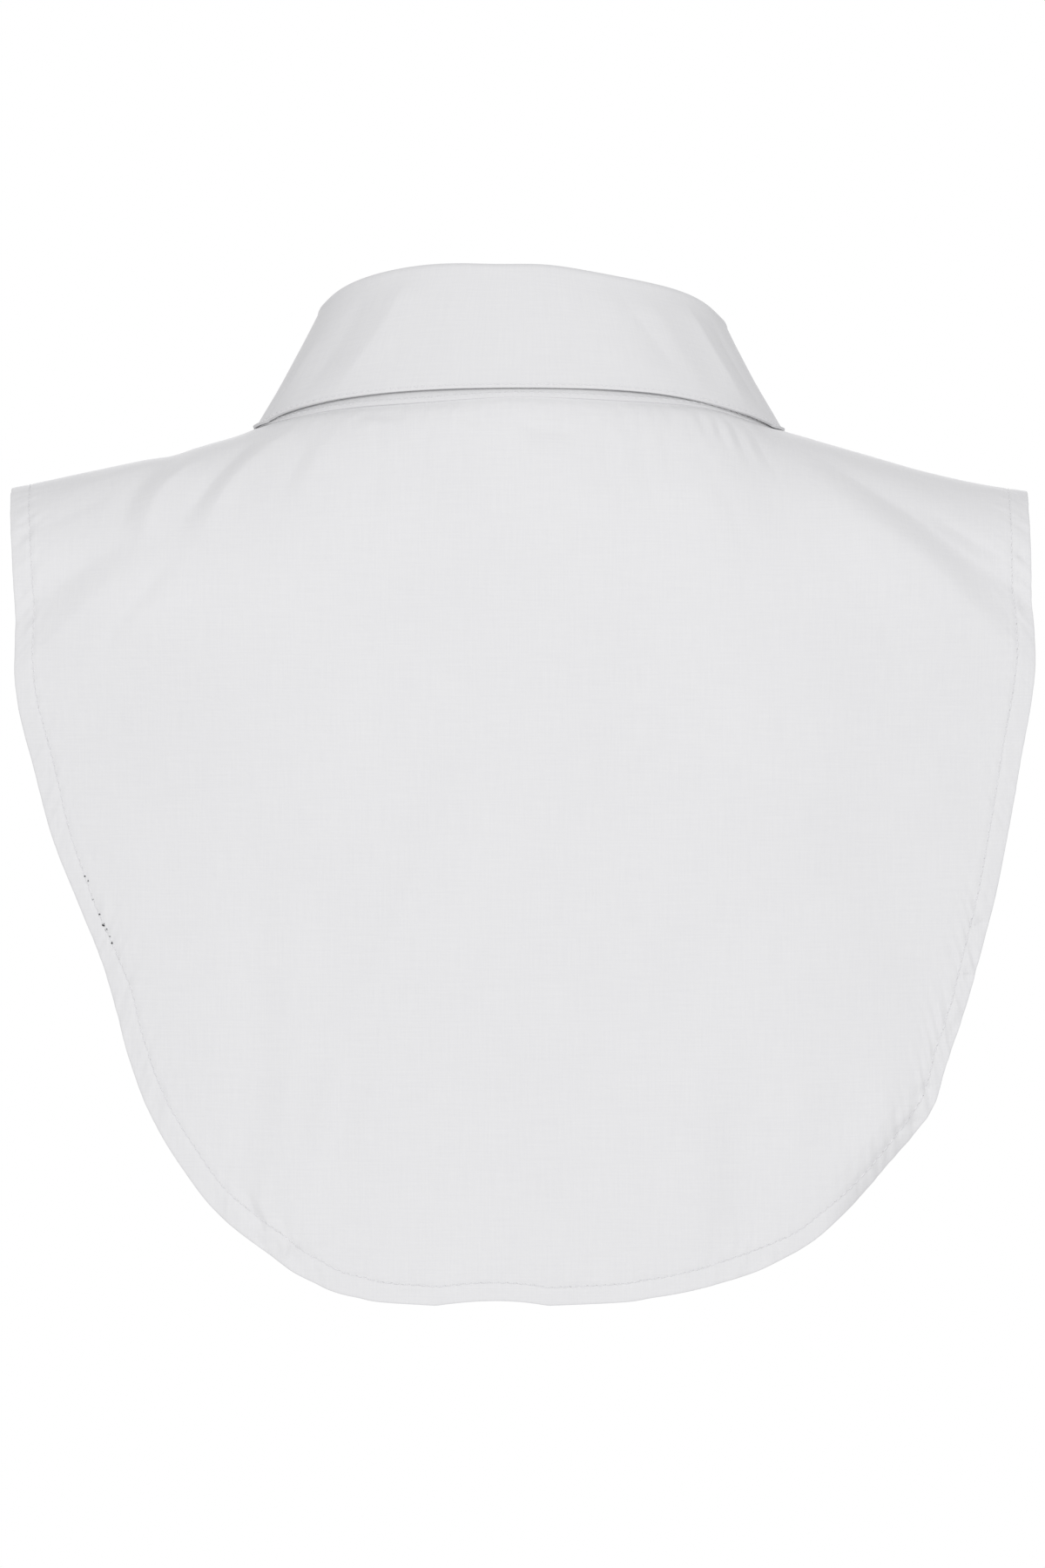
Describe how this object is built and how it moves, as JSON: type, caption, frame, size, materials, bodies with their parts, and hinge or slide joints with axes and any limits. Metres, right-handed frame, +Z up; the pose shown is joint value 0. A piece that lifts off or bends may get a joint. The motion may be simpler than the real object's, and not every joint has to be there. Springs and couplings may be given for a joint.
{
  "type": "detachable shirt collar with short bib",
  "caption": "White cotton stand-and-fall shirt collar on a short bib that hangs over the shoulders, kept in the hollow form it has when worn and buttoned.",
  "frame": {"origin": "middle of the neck opening, level with the shoulder ends of the neck seam, where the wearer's neck and shoulders hold the collar", "axes": "+Z up, the wearer faces -Y, +X is the wearer's left; the nape and the back panel are on the +Y side"},
  "size_m": [0.3264, 0.1723, 0.3272],
  "materials": {
    "cotton": "plain-woven white shirting, matt, crisp",
    "button": "white four-hole shirt button, soft gloss"
  },
  "bodies": {
    "root": {"back_panel": "cotton", "left_front": "cotton", "right_front": "cotton", "collar_stand": "cotton", "collar_leaf": "cotton", "stand_button": "button", "front_button_1": "button", "front_button_2": "button", "front_button_3": "button"}
  },
  "joints": []
}
